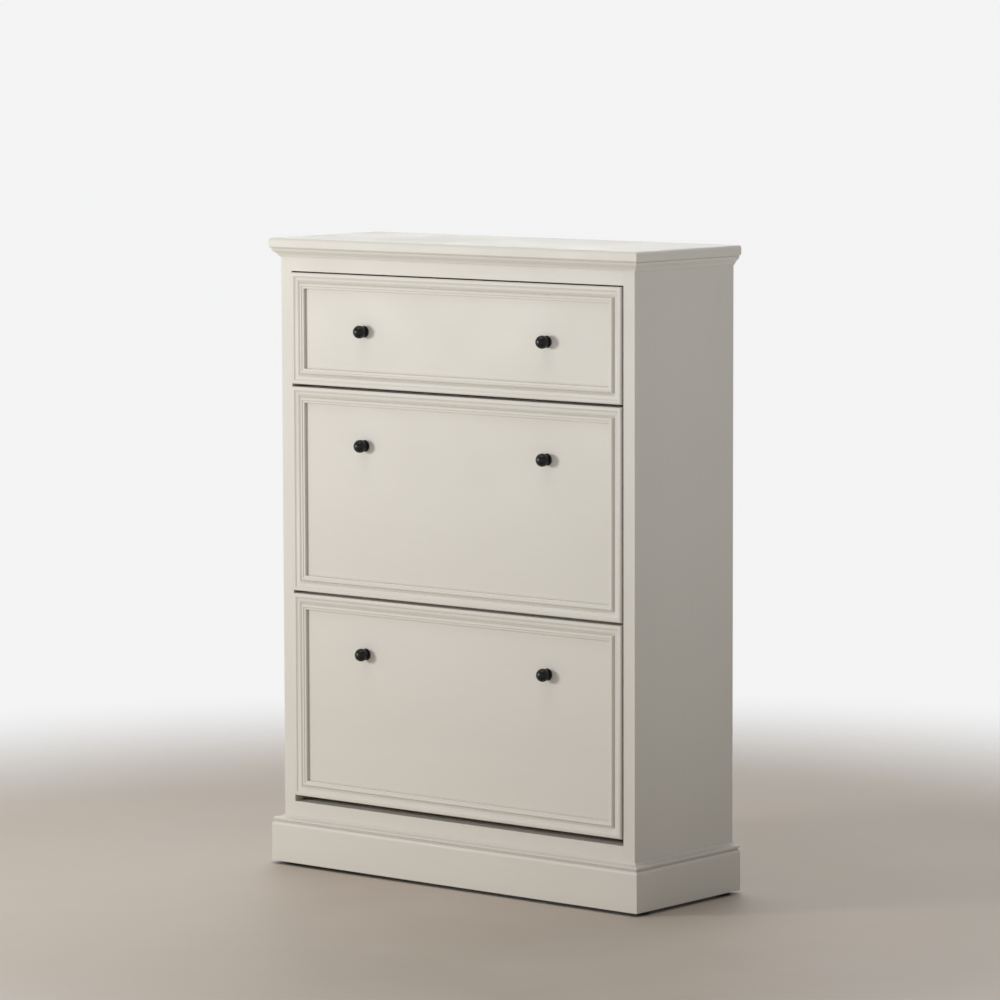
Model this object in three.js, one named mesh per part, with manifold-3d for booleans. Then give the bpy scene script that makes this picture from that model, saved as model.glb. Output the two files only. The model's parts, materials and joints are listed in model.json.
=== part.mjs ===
import * as THREE from 'three';
import { mergeVertices } from 'three/addons/utils/BufferGeometryUtils.js';
import Module from 'manifold-3d';

// Shoe cabinet: a painted case with one drawer above two tip-down flaps, each carrying a bin for shoes.
// Millimetres, +Z up, front towards -Y, +X to the right. The origin is under the middle of the whole object.

// ---- driving dimensions ----

const bodyWidth = 768; // over the side panels
const bodyDepth = 262; // face frame to the rear edges of the side panels
const glideHeight = 5;
const boardThickness = 18;
const frameDepth = 20; // front to back size of the stiles and rails
const stileWidth = 24;

const topBoardBottom = 1061;
const topBoardTop = 1078;
const crownBottom = 1045;
const topRailBottom = 1022;
const drawerTop = 1020;
const bottomRailTop = 110;
const bottomBoardTop = 110;

const lowerFlapBottom = 121;
const flapHeight = 350;
const flapGap = 4.5; // between the two flaps
const drawerGap = 4.4; // between the upper flap and the drawer front
const sideGap = 2; // between every front and the stiles

const frontProud = 4.5; // how far the mouldings' crests stand out of the face frame
const panelRecess = 8; // from a moulding's crest back to its slab
const slabThickness = 15;
const knobSpread = 198.5; // from the centre line to each knob
const flapKnobDrop = 93.5; // from a flap's top edge down to its knobs
const knobProjection = 24; // from the slab's face
const knobRadius = 11;

const pivotRise = 60; // from a flap's bottom edge up to its pins
const pinRadius = 3;
const pinHoleRadius = 3.3;
const pinHoleDepth = 13; // into the stile and into the slab's edge
const pinInSlab = 12.5;
const pinInStile = 12;

const shelfThickness = 12;
const shelfGap = 3.5; // from a slab's rear to the shelf's front edge
const backRailHeight = 60;
const backRecess = 6; // from the side panels' rear edges in to the back panel
const backThickness = 5;

const binHalfWidth = 345; // inner faces of the bin's cheeks
const cheekThickness = 9;
const trayThickness = 4;
const trayRadius = 95; // outside of the bend
const trayBendStart = 110; // behind the pins, where the tray's floor starts to bend
const trayFloor = -50; // under the pins, underside of the tray's floor
const trayTop = 150;
const dividerDepth = 96; // behind the pins
const dividerThickness = 9;
const dividerTop = 170;
const cheekTop = 240; // above the pins, at the slab
const cheekSlopeEnd = [22, 236.5]; // behind and above the pins
const cheekRearTop = 182;
const cheekRearRadius = 8;
const cheekMargin = 4; // the cheeks reach this far past the tray

const slideLength = 220;
const slideHeight = 905; // centre line of the drawer slides
const slideThickness = 12.7; // stile line to drawer side
const slideSteel = 1.2;
const packerHeight = 50;
// Each member's web and flange edge, as distances inside the stile line, and its half height.
const slideMembers = {
  outer: [0, 9, 22.5],
  middle: [3.8, 10.2, 19.2],
  inner: [slideThickness, 6.2, 15.8],
};
const drawerSideThickness = 12;
const drawerBoxBottom = 846;
const drawerBoxTop = 986;
const drawerBoxLength = 217.5;
const grooveBottom = 852; // for the drawer's bottom, in its sides
const grooveDepth = 6;
const drawerBottomThickness = 4;
const bottomPlay = 0.3; // above, under and beside the drawer's bottom in its groove

const glideRadius = 12;
const glideDepths = { front: 22, rear: 238 };
const glideInset = 2; // from the body's sides in to the glides' centres

const bracketWidth = 80;
const bracketHeight = 36;
const bracketThickness = 3;
const bracketDrop = 48; // from the top board's underside down to the bracket's lower edge

const cutterOvershoot = 1; // how far a hole's cutter stands out of the face that it enters

// ---- places worked out from the dimensions ----

const halfBody = bodyWidth / 2;
const halfInside = halfBody - boardThickness; // inner faces of the side panels
const halfOpening = halfBody - stileWidth; // inner faces of the stiles
const halfFront = halfOpening - sideGap;
const slabFace = panelRecess - frontProud; // depths are counted back from the face frame's front
const slabRear = slabFace + slabThickness;
const pivotDepth = slabFace + slabThickness / 2;
const knobReach = knobProjection - slabFace; // ahead of the face frame
const faceY = (knobReach - bodyDepth) / 2;
const backPanelFront = bodyDepth - backRecess - backThickness;
const upperFlapBottom = lowerFlapBottom + flapHeight + flapGap;
const drawerBottom = upperFlapBottom + flapHeight + drawerGap;
const shelfRise = flapHeight; // each shelf's top is level with the top edge of the flap below it

const depthY = (depth) => faceY + depth;

// ---- materials ----

const paint = (color, roughness) => new THREE.MeshStandardMaterial({ color, roughness, metalness: 0 });
const steel = (color, roughness) => new THREE.MeshStandardMaterial({ color, roughness, metalness: 1 });
const greige = () => paint(0xd2ccc1, 0.5);
const insideGreige = () => paint(0xc9c3b8, 0.6);
const blackKnob = () => new THREE.MeshStandardMaterial({ color: 0x131313, roughness: 0.4, metalness: 0.3 });
const zincSteel = () => steel(0xb4b7ba, 0.35);
const beech = () => paint(0xc9a67a, 0.6);
const blackPlastic = () => paint(0x1c1c1c, 0.7);

// ---- building blocks ----

const wasm = await Module();
wasm.setup();

const cabinet = new THREE.Group();

function addMesh(name, geometry, material, position = [0, 0, 0]) {
  const mesh = new THREE.Mesh(geometry, material);
  mesh.name = name;
  mesh.position.set(...position);
  cabinet.add(mesh);
  return mesh;
}

// A board given by its limits along X, its depths behind the face frame and its heights.
function boardGeometry([x0, x1], [depth0, depth1], [z0, z1]) {
  const geometry = new THREE.BoxGeometry(x1 - x0, depth1 - depth0, z1 - z0);
  return geometry.translate((x0 + x1) / 2, depthY((depth0 + depth1) / 2), (z0 + z1) / 2);
}

function addBoard(name, material, xLimits, depthLimits, zLimits) {
  return addMesh(name, boardGeometry(xLimits, depthLimits, zLimits), material);
}

// Limits along X on the left (side -1) or right (side 1), given from the centre line outwards.
function onSide(side, near, far) {
  return side > 0 ? [near, far] : [-far, -near];
}

// An outline of [y, z] points drawn out along X.
function extrudeAlongX(outline, x0, x1) {
  const shape = new THREE.Shape(outline.map(([y, z]) => new THREE.Vector2(y, z)));
  const geometry = new THREE.ExtrudeGeometry(shape, { depth: x1 - x0, bevelEnabled: false });
  const yAxis = new THREE.Vector3(0, 1, 0);
  const zAxis = new THREE.Vector3(0, 0, 1);
  const xAxis = new THREE.Vector3(1, 0, 0);
  return geometry.applyMatrix4(new THREE.Matrix4().makeBasis(yAxis, zAxis, xAxis)).translate(x0, 0, 0);
}

// An outline of [x, z] points drawn back along Y.
function extrudeAlongY(outline, y0, y1) {
  const shape = new THREE.Shape(outline.map(([x, z]) => new THREE.Vector2(x, z)));
  const geometry = new THREE.ExtrudeGeometry(shape, { depth: y1 - y0, bevelEnabled: false });
  return geometry.rotateX(Math.PI / 2).translate(0, y1, 0);
}

// Points on an arc, as [u, v] pairs from one angle to another in degrees. A second radius makes it oval.
function arc(u, v, radius, from, to, steps, radiusV = radius) {
  return Array.from({ length: steps + 1 }, (_, i) => {
    const angle = THREE.MathUtils.degToRad(from + ((to - from) * i) / steps);
    return [u + radius * Math.cos(angle), v + radiusV * Math.sin(angle)];
  });
}

// Turns loops of equal length into a closed skin: side faces between neighbouring loops, and either a cap
// on the first and last loop or, where the run is closed, a last set of side faces back to the first.
function skinLoops(loops, outline, closed) {
  const count = outline.length;
  const positions = loops.flat(2);
  const index = [];
  const spans = closed ? loops.length : loops.length - 1;
  for (let k = 0; k < spans; k++) {
    const a = k * count;
    const b = ((k + 1) % loops.length) * count;
    for (let i = 0; i < count; i++) {
      const j = (i + 1) % count;
      index.push(a + i, a + j, b + j, a + i, b + j, b + i);
    }
  }
  if (!closed) {
    const contour = outline.map(([u, v]) => new THREE.Vector2(u, v));
    const last = (loops.length - 1) * count;
    for (const [a, b, c] of THREE.ShapeUtils.triangulateShape(contour, [])) {
      index.push(c, b, a, last + a, last + b, last + c);
    }
  }
  const geometry = new THREE.BufferGeometry();
  geometry.setAttribute('position', new THREE.Float32BufferAttribute(positions, 3));
  geometry.setIndex(index);
  if (signedVolume(geometry) < 0) {
    index.reverse();
    geometry.setIndex(index);
  }
  return geometry;
}

function signedVolume(geometry) {
  const { array } = geometry.getIndex();
  const position = geometry.getAttribute('position');
  const corner = (i) => new THREE.Vector3().fromBufferAttribute(position, array[i]);
  let volume = 0;
  for (let i = 0; i < array.length; i += 3) {
    volume += corner(i).dot(corner(i + 1).cross(corner(i + 2))) / 6;
  }
  return volume;
}

function toManifold(geometry) {
  const bare = geometry.clone();
  bare.deleteAttribute('normal');
  bare.deleteAttribute('uv');
  const merged = mergeVertices(bare);
  return new wasm.Manifold(new wasm.Mesh({
    numProp: 3,
    vertProperties: new Float32Array(merged.getAttribute('position').array),
    triVerts: new Uint32Array(merged.getIndex().array),
  }));
}

function cutFrom(geometry, cutters) {
  const solid = cutters.reduce((rest, cutter) => rest.subtract(toManifold(cutter)), toManifold(geometry));
  const mesh = solid.getMesh();
  const result = new THREE.BufferGeometry();
  result.setAttribute('position', new THREE.Float32BufferAttribute(mesh.vertProperties, 3));
  result.setIndex(Array.from(mesh.triVerts));
  return result;
}

// A round bar along X.
function barAlongX(radius, x0, x1, segments) {
  return new THREE.CylinderGeometry(radius, radius, x1 - x0, segments).rotateZ(Math.PI / 2)
    .translate((x0 + x1) / 2, 0, 0);
}

// ---- top, crown and plinth ----

// Outward distance from the body and height, up the edge of the top board: rounded below, more so above.
const topEdge = [
  ...arc(12.5, topBoardBottom + 3, 3, -90, 0, 5),
  ...arc(10.3, topBoardTop - 5.2, 5.2, 0, 90, 7),
];

// One rectangle for each point of an edge outline: square at the back, set out at the front and both sides.
function threeSidedBoard(edge) {
  const loops = edge.map(([out, z]) => [
    [-halfBody - out, depthY(-out), z],
    [halfBody + out, depthY(-out), z],
    [halfBody + out, depthY(bodyDepth), z],
    [-halfBody - out, depthY(bodyDepth), z],
  ]);
  return skinLoops(loops, [[0, 0], [1, 0], [1, 1], [0, 1]], false);
}

// A moulding along the front or down one side of the body, mitred where the two meet.
function frontMoulding(profile) {
  const end = (side) => profile.map(([out, z]) => [side * (halfBody + out), depthY(-out), z]);
  return skinLoops([end(-1), end(1)], profile, false);
}

function sideMoulding(profile, side) {
  const end = (depthOf) => profile.map(([out, z]) => [side * (halfBody + out), depthY(depthOf(out)), z]);
  return skinLoops([end((out) => -out), end(() => bodyDepth)], profile, false);
}

// Bed moulding: a small fillet, an ogee that swells outwards and a fine quirk under the top board.
const crownProfile = [
  [0, crownBottom],
  [1.2, crownBottom],
  [1.2, 1046.4],
  [2.8, 1047.2],
  [3.5, 1049],
  [5, 1051],
  [7.8, 1053.6],
  [10.2, 1055.6],
  [11.4, 1057.6],
  [11.9, 1059.6],
  [11.4, 1060.2],
  [11.4, topBoardBottom],
  [0, topBoardBottom],
];

// Plinth: a flat board with a rounded top edge, a groove and a low cap that sweeps up to the body.
const plinthProfile = [
  [0, glideHeight],
  [16, glideHeight],
  ...arc(11.6, 67, 4.4, 0, 90, 5, 6.8),
  [11.6, 76.8],
  [14.6, 76.8],
  [14.6, 79.2],
  [13.4, 80.2],
  [9, 80.9],
  [5, 82],
  [2, 84],
  [0, 85.5],
];

addMesh('top_board', threeSidedBoard(topEdge), greige());
for (const [name, profile] of [['crown', crownProfile], ['plinth', plinthProfile]]) {
  addMesh(`${name}_front`, frontMoulding(profile), greige());
  addMesh(`${name}_left`, sideMoulding(profile, -1), greige());
  addMesh(`${name}_right`, sideMoulding(profile, 1), greige());
}

// ---- case ----

const flapBottoms = { lower: lowerFlapBottom, upper: upperFlapBottom };
const sides = { left: -1, right: 1 };

for (const [name, side] of Object.entries(sides)) {
  const pinHoles = Object.values(flapBottoms).map((bottom) => {
    const [x0, x1] = onSide(side, halfOpening - cutterOvershoot, halfOpening + pinHoleDepth);
    return barAlongX(pinHoleRadius, x0, x1, 20).translate(0, depthY(pivotDepth), bottom + pivotRise);
  });
  const stile = boardGeometry(onSide(side, halfOpening, halfBody), [0, frameDepth], [glideHeight, topBoardBottom]);
  addMesh(`stile_${name}`, cutFrom(stile, pinHoles), greige());
  addBoard(`side_panel_${name}`, greige(), onSide(side, halfInside, halfBody), [frameDepth, bodyDepth],
    [glideHeight, topBoardBottom]);
}

const acrossOpening = [-halfOpening, halfOpening];
const acrossInside = [-halfInside, halfInside];
const shelfFront = slabRear + shelfGap;

addBoard('top_rail', greige(), acrossOpening, [0, frameDepth], [topRailBottom, topBoardBottom]);
addBoard('bottom_rail', greige(), acrossOpening, [0, frameDepth], [glideHeight, bottomRailTop]);
addBoard('bottom_board', insideGreige(), acrossInside, [frameDepth, backPanelFront],
  [bottomBoardTop - boardThickness, bottomBoardTop]);
addBoard('back_panel', insideGreige(), acrossInside, [backPanelFront, backPanelFront + backThickness],
  [bottomBoardTop - boardThickness, topBoardBottom]);
addBoard('back_rail', insideGreige(), acrossInside, [backPanelFront - boardThickness, backPanelFront],
  [topBoardBottom - backRailHeight, topBoardBottom]);

for (const [name, bottom] of [['flap_shelf', lowerFlapBottom], ['drawer_shelf', upperFlapBottom]]) {
  const top = bottom + shelfRise;
  addBoard(name, insideGreige(), acrossInside, [shelfFront, backPanelFront], [top - shelfThickness, top]);
}

for (const [name, side] of Object.entries(sides)) {
  for (const [end, depth] of Object.entries(glideDepths)) {
    const glide = new THREE.CylinderGeometry(glideRadius - 1, glideRadius, glideHeight, 24).rotateX(Math.PI / 2);
    addMesh(`glide_${end}_${name}`, glide, blackPlastic(),
      [side * (halfBody - glideInset), depthY(depth), glideHeight / 2]);
  }
}

// Wall bracket: a steel plate on the back of the back panel, with a slot for the wall screw.
const bracketCorners = [[-1, 0], [1, 0], [1, 1], [-1, 1]];
const bracketShape = new THREE.Shape(
  bracketCorners.map(([u, v]) => new THREE.Vector2((u * bracketWidth) / 2, v * bracketHeight)),
);
const bracketSlot = [...arc(0, 24, 3, 0, 180, 8), ...arc(0, 14, 3, 180, 360, 8)];
bracketShape.holes.push(new THREE.Path(bracketSlot.map((p) => new THREE.Vector2(...p))));
const bracket = new THREE.ExtrudeGeometry(bracketShape, { depth: bracketThickness, bevelEnabled: false });
const bracketY = depthY(bodyDepth - backRecess + bracketThickness);
addMesh('wall_bracket', bracket.rotateX(Math.PI / 2), zincSteel(), [0, bracketY, topBoardBottom - bracketDrop]);

// ---- drawer slides ----

// One member is a channel: a web and two flanges.
function slideMember(side, [webFrom, flangeTo, halfHeight]) {
  const x = (inside) => side * (halfOpening - inside);
  const toWeb = webFrom < flangeTo ? slideSteel : -slideSteel;
  const outline = [
    [x(webFrom), -halfHeight],
    [x(flangeTo), -halfHeight],
    [x(flangeTo), slideSteel - halfHeight],
    [x(webFrom + toWeb), slideSteel - halfHeight],
    [x(webFrom + toWeb), halfHeight - slideSteel],
    [x(flangeTo), halfHeight - slideSteel],
    [x(flangeTo), halfHeight],
    [x(webFrom), halfHeight],
  ];
  const member = extrudeAlongY(outline, depthY(frameDepth), depthY(frameDepth + slideLength));
  return member.translate(0, 0, slideHeight);
}

for (const [name, side] of Object.entries(sides)) {
  addBoard(`slide_packer_${name}`, beech(), onSide(side, halfOpening, halfInside),
    [frameDepth, frameDepth + slideLength], [slideHeight - packerHeight / 2, slideHeight + packerHeight / 2]);
  for (const [member, sizes] of Object.entries(slideMembers)) {
    addMesh(`slide_${member}_${name}`, slideMember(side, sizes), zincSteel());
  }
}

// ---- fronts ----

// Inset from the moulding's outer edge and depth below its crest: a rounded land, two steps down to a
// valley, a bead, a small fillet and the drop to the slab.
const mouldingProfile = [
  [0, panelRecess],
  ...arc(3, 3, 3, 180, 270, 3),
  [5.8, 0],
  [9.2, 2.2],
  [12.6, 2.7],
  [16.2, 5.2],
  [17, 5.3],
  [18, 3.1],
  [19.5, 1.4],
  [21.2, 0.9],
  [22.6, 1.4],
  [23.4, 2.4],
  [26.3, 2.6],
  [27, 3.4],
  [27, panelRecess],
];

// The moulding runs round the edge of a front, mitred at its four corners.
function mouldingRing(height) {
  const corners = [[-1, -1], [1, -1], [1, 1], [-1, 1]];
  const loops = corners.map(([sx, sz]) => mouldingProfile.map(([inset, drop]) => [
    sx * (halfFront - inset),
    depthY(drop - frontProud),
    sz * (height / 2 - inset),
  ]));
  return skinLoops(loops, mouldingProfile, true);
}

function slabGeometry(height) {
  return boardGeometry([-halfFront, halfFront], [slabFace, slabRear], [-height / 2, height / 2]);
}

// Knob: a ball on a short neck that flares into a round rose against the slab.
const ballHeight = knobProjection - knobRadius;
const knobProfile = [
  [0, 0],
  [9.8, 0],
  [10, 1.2],
  [9.4, 2.4],
  [6.6, 3],
  [6, 3.5],
  ...arc(0, ballHeight, knobRadius, -55, 80, 10),
  [0, knobProjection],
];

function knobGeometry() {
  const profile = knobProfile.map(([radius, out]) => new THREE.Vector2(radius, out));
  return new THREE.LatheGeometry(profile, 20).rotateX(Math.PI); // out of the slab is towards -Y
}

function addKnobs(prefix, height) {
  for (const [name, side] of Object.entries(sides)) {
    addMesh(`${prefix}_knob_${name}`, knobGeometry(), blackKnob(),
      [side * knobSpread, depthY(slabFace), height]);
  }
}

// ---- drawer ----

const drawerHeight = drawerTop - drawerBottom;
const drawerMiddle = (drawerTop + drawerBottom) / 2;
const drawerSideOuter = halfOpening - slideThickness;
const drawerSideInner = drawerSideOuter - drawerSideThickness;
const drawerBoxRear = slabRear + drawerBoxLength;
const grooveHeight = drawerBottomThickness + 2 * bottomPlay;

addMesh('drawer_front', slabGeometry(drawerHeight), greige(), [0, 0, drawerMiddle]);
addMesh('drawer_moulding', mouldingRing(drawerHeight), greige(), [0, 0, drawerMiddle]);
addKnobs('drawer', drawerMiddle);

for (const [name, side] of Object.entries(sides)) {
  const outline = [
    [drawerSideOuter, drawerBoxBottom],
    [drawerSideOuter, drawerBoxTop],
    [drawerSideInner, drawerBoxTop],
    [drawerSideInner, grooveBottom + grooveHeight],
    [drawerSideInner + grooveDepth, grooveBottom + grooveHeight],
    [drawerSideInner + grooveDepth, grooveBottom],
    [drawerSideInner, grooveBottom],
    [drawerSideInner, drawerBoxBottom],
  ].map(([x, z]) => [side * x, z]);
  addMesh(`drawer_side_${name}`, extrudeAlongY(outline, depthY(slabRear), depthY(drawerBoxRear)), insideGreige());
}

const drawerBottomHalf = drawerSideInner + grooveDepth - bottomPlay;
const drawerBottomUnderside = grooveBottom + bottomPlay;
addBoard('drawer_bottom', insideGreige(), [-drawerBottomHalf, drawerBottomHalf], [slabRear, drawerBoxRear],
  [drawerBottomUnderside, drawerBottomUnderside + drawerBottomThickness]);
addBoard('drawer_back', insideGreige(), [-drawerSideInner, drawerSideInner],
  [drawerBoxRear - drawerSideThickness, drawerBoxRear], [grooveBottom + grooveHeight, drawerBoxTop]);

// ---- flaps ----

// Outlines across the bin, as distance behind the pins and height above them.
function bendOutline(radius, top) {
  const floor = trayFloor + trayRadius - radius;
  const centre = trayFloor + trayRadius;
  return [
    [slabThickness / 2, floor],
    ...arc(trayBendStart, centre, radius, -90, 0, 9),
    [trayBendStart + radius, top],
  ];
}

const trayOutline = [
  ...bendOutline(trayRadius, trayTop),
  ...bendOutline(trayRadius - trayThickness, trayTop).reverse(),
];

// The cheeks cover the tray's edges, and their rear top corners meet the shelf when the flap is open.
const cheekRadius = trayRadius + cheekMargin;
const cheekOutline = [
  ...bendOutline(cheekRadius, cheekRearTop).slice(0, -1),
  ...arc(trayBendStart + cheekRadius - cheekRearRadius, cheekRearTop, cheekRearRadius, 0, 104, 4),
  cheekSlopeEnd,
  [slabThickness / 2, cheekTop],
];

for (const [name, bottom] of Object.entries(flapBottoms)) {
  const middle = bottom + flapHeight / 2;
  const pivot = [0, depthY(pivotDepth), bottom + pivotRise];
  const pinHoles = Object.values(sides).map((side) => {
    const [x0, x1] = onSide(side, halfFront - pinHoleDepth, halfFront + cutterOvershoot);
    return barAlongX(pinHoleRadius, x0, x1, 20).translate(0, depthY(pivotDepth), pivotRise - flapHeight / 2);
  });
  addMesh(`${name}_flap_front`, cutFrom(slabGeometry(flapHeight), pinHoles), greige(), [0, 0, middle]);
  addMesh(`${name}_flap_moulding`, mouldingRing(flapHeight), greige(), [0, 0, middle]);
  addKnobs(name, bottom + flapHeight - flapKnobDrop);
  for (const [sideName, side] of Object.entries(sides)) {
    const cheek = extrudeAlongX(cheekOutline, ...onSide(side, binHalfWidth, binHalfWidth + cheekThickness));
    addMesh(`${name}_bin_cheek_${sideName}`, cheek, insideGreige(), pivot);
    const pin = barAlongX(pinRadius, ...onSide(side, halfFront - pinInSlab, halfOpening + pinInStile), 20);
    addMesh(`${name}_pivot_pin_${sideName}`, pin, zincSteel(), pivot);
  }
  const tray = extrudeAlongX(trayOutline, -binHalfWidth, binHalfWidth);
  addMesh(`${name}_bin_tray`, tray, insideGreige(), pivot);
  const divider = new THREE.BoxGeometry(2 * binHalfWidth, dividerThickness, dividerTop - trayFloor - trayThickness);
  divider.translate(0, dividerDepth + dividerThickness / 2, (dividerTop + trayFloor + trayThickness) / 2);
  addMesh(`${name}_bin_divider`, divider, insideGreige(), pivot);
}

export default cabinet;
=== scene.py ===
import json
import math

import bmesh
import bpy
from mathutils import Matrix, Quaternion, Vector


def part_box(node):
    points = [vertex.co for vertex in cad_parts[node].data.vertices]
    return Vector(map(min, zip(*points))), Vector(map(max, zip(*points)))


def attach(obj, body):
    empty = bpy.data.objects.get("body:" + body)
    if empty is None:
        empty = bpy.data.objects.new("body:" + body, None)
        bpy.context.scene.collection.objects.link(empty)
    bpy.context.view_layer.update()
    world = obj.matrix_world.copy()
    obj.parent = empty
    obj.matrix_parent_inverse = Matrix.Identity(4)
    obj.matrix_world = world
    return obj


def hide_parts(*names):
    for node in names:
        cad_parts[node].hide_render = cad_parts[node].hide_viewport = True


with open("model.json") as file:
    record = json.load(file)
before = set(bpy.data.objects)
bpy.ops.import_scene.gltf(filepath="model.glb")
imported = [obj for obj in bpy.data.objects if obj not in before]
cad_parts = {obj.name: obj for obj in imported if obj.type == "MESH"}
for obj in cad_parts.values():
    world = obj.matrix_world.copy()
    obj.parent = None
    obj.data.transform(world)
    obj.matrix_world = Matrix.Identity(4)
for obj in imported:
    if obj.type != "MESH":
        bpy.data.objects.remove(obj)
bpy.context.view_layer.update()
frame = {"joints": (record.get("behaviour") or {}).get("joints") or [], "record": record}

# A painted shoe cabinet: one drawer over two tip-down flaps. Outlines and sizes below are in millimetres,
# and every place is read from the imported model's boxes, in metres.

mm = 0.001
record = frame["record"]
bodyOfNode = {node: body for body, nodes in record["behaviour"]["bodies"].items() for node in nodes}
jointPlace = {joint["name"]: Vector(joint["pos_m"]) for joint in frame["joints"]}
hands = {"left": -1, "right": 1}

# Planes that many pieces share.
stileLow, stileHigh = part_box("stile_right")
panelLow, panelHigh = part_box("side_panel_right")
caseHalf = panelHigh.x
faceY = stileLow.y  # front of the face frame
backY = panelHigh.y


cameraView = {
    "lens": 175.3,
    "azimuth": 39.868,
    "elevation": 5.864,
    "roll": -0.164,
    "distance": 8.199,
    "aim": (-0.0088, 0.01025, 0.6420),
}


def towards(azimuth, elevation):
    turn, rise = math.radians(azimuth), math.radians(elevation)
    return Vector((math.sin(turn) * math.cos(rise), -math.cos(turn) * math.cos(rise), math.sin(rise)))


def placeCamera():
    back = towards(cameraView["azimuth"], cameraView["elevation"])
    lens = bpy.data.cameras.new("studioCamera")
    lens.lens = cameraView["lens"]
    lens.clip_start, lens.clip_end = 0.1, 200
    cam = bpy.data.objects.new("studioCamera", lens)
    bpy.context.scene.collection.objects.link(cam)
    cam.location = Vector(cameraView["aim"]) + back * cameraView["distance"]
    cam.rotation_mode = "QUATERNION"
    roll = Quaternion((0, 0, 1), math.radians(cameraView["roll"]))
    cam.rotation_quaternion = (-back).to_track_quat("-Z", "Y") @ roll
    bpy.context.scene.camera = cam


placeCamera()
print("camera placed")


socketKinds = {"value": "NodeSocketFloat", "vector": "NodeSocketVector", "color": "NodeSocketColor"}


def feed(tree, socket, value):
    if isinstance(value, bpy.types.NodeSocket):
        tree.links.new(value, socket)
    else:
        socket.default_value = value


def addNode(tree, kind, inputs=None, **settings):
    made = tree.nodes.new("ShaderNode" + kind)
    for key, value in settings.items():
        setattr(made, key, value)
    for key, value in (inputs or {}).items():
        feed(tree, made.inputs[key], value)
    return made


def calc(tree, operation, *values):
    return addNode(tree, "Math", dict(enumerate(values)), operation=operation).outputs[0]


def fit(tree, value, fromLow, fromHigh, toLow, toHigh):
    limits = {"From Min": fromLow, "From Max": fromHigh, "To Min": toLow, "To Max": toHigh}
    return addNode(tree, "MapRange", {"Value": value, **limits}, clamp=True).outputs["Result"]


def mixColors(tree, share, first, second, way="MIX"):
    made = addNode(tree, "Mix", {0: share, 6: first, 7: second}, data_type="RGBA", blend_type=way)
    return made.outputs[2]


def newGroup(name, inputs, outputs):
    tree = bpy.data.node_groups.new(name, "ShaderNodeTree")
    for label, kind, start in inputs:
        socket = tree.interface.new_socket(label, in_out="INPUT", socket_type=socketKinds[kind])
        socket.default_value = start
    for label, kind in outputs:
        tree.interface.new_socket(label, in_out="OUTPUT", socket_type=socketKinds[kind])
    return tree, tree.nodes.new("NodeGroupInput").outputs, tree.nodes.new("NodeGroupOutput").inputs


def placeGroup(tree, group, inputs):
    made = tree.nodes.new("ShaderNodeGroup")
    made.node_tree = group
    for key, value in inputs.items():
        feed(tree, made.inputs[key], value)
    return made.outputs


def buildEdgeWear():
    # 1 along worn corners, broken up so that it comes and goes
    tree, given, result = newGroup(
        "edgeWear", [("Width", "value", 0.001), ("Patch Scale", "value", 30.0)], [("Mask", "value")])
    rounded = addNode(tree, "Bevel", {"Radius": given["Width"]}, samples=2)
    surface = addNode(tree, "NewGeometry")
    normals = {0: rounded.outputs["Normal"], 1: surface.outputs["Normal"]}
    alike = addNode(tree, "VectorMath", normals, operation="DOT_PRODUCT").outputs["Value"]
    corner = fit(tree, alike, 0.72, 0.995, 1.0, 0.0)
    place = addNode(tree, "TexCoord").outputs["Object"]
    patches = addNode(tree, "TexNoise", {"Vector": place, "Scale": given["Patch Scale"], "Detail": 3.0})
    broken = fit(tree, patches.outputs["Fac"], 0.38, 0.66, 0.25, 1.0)
    feed(tree, result["Mask"], calc(tree, "MULTIPLY", corner, broken))
    return tree


def buildCreviceShade():
    # 1 deep in corners and quirks, for painted shade where little light reaches; Deepest nears 1 only in
    # the narrowest gaps, for painted shadow
    tree, given, result = newGroup(
        "creviceShade", [("Reach", "value", 0.006)], [("Mask", "value"), ("Deepest", "value")])
    openness = addNode(tree, "AmbientOcclusion", {"Distance": given["Reach"]}, samples=3)
    feed(tree, result["Mask"], fit(tree, openness.outputs["AO"], 0.25, 0.85, 1.0, 0.0))
    feed(tree, result["Deepest"], fit(tree, openness.outputs["AO"], 0.10, 0.30, 1.0, 0.0))
    return tree


def buildGrain():
    # fibres drawn out along the axis where Stretch is small, with a slow drift of tone
    tree, given, result = newGroup(
        "grain",
        [("Stretch", "vector", (1.0, 1.0, 1.0)), ("Scale", "value", 200.0), ("Drift Scale", "value", 6.0)],
        [("Fibre", "value"), ("Drift", "value")])
    place = addNode(tree, "TexCoord").outputs["Object"]
    drawn = addNode(tree, "VectorMath", {0: place, 1: given["Stretch"]}, operation="MULTIPLY").outputs[0]
    fibre = addNode(
        tree, "TexNoise",
        {"Vector": drawn, "Scale": given["Scale"], "Detail": 4.0, "Roughness": 0.62, "Distortion": 0.3})
    drift = addNode(tree, "TexNoise", {"Vector": drawn, "Scale": given["Drift Scale"], "Detail": 2.0})
    feed(tree, result["Fibre"], fibre.outputs["Fac"])
    feed(tree, result["Drift"], drift.outputs["Fac"])
    return tree


def buildSprayedCoat():
    # the soft dimples of a sprayed coat, and slow patches where it dried glossier
    tree, given, result = newGroup(
        "sprayedCoat",
        [("Dimple Scale", "value", 500.0), ("Patch Scale", "value", 9.0)],
        [("Dimples", "value"), ("Patches", "value")])
    place = addNode(tree, "TexCoord").outputs["Object"]
    dimples = addNode(
        tree, "TexVoronoi", {"Vector": place, "Scale": given["Dimple Scale"], "Smoothness": 0.8},
        feature="SMOOTH_F1")
    patches = addNode(tree, "TexNoise", {"Vector": place, "Scale": given["Patch Scale"], "Detail": 3.0})
    feed(tree, result["Dimples"], dimples.outputs["Distance"])
    feed(tree, result["Patches"], patches.outputs["Fac"])
    return tree


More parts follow.
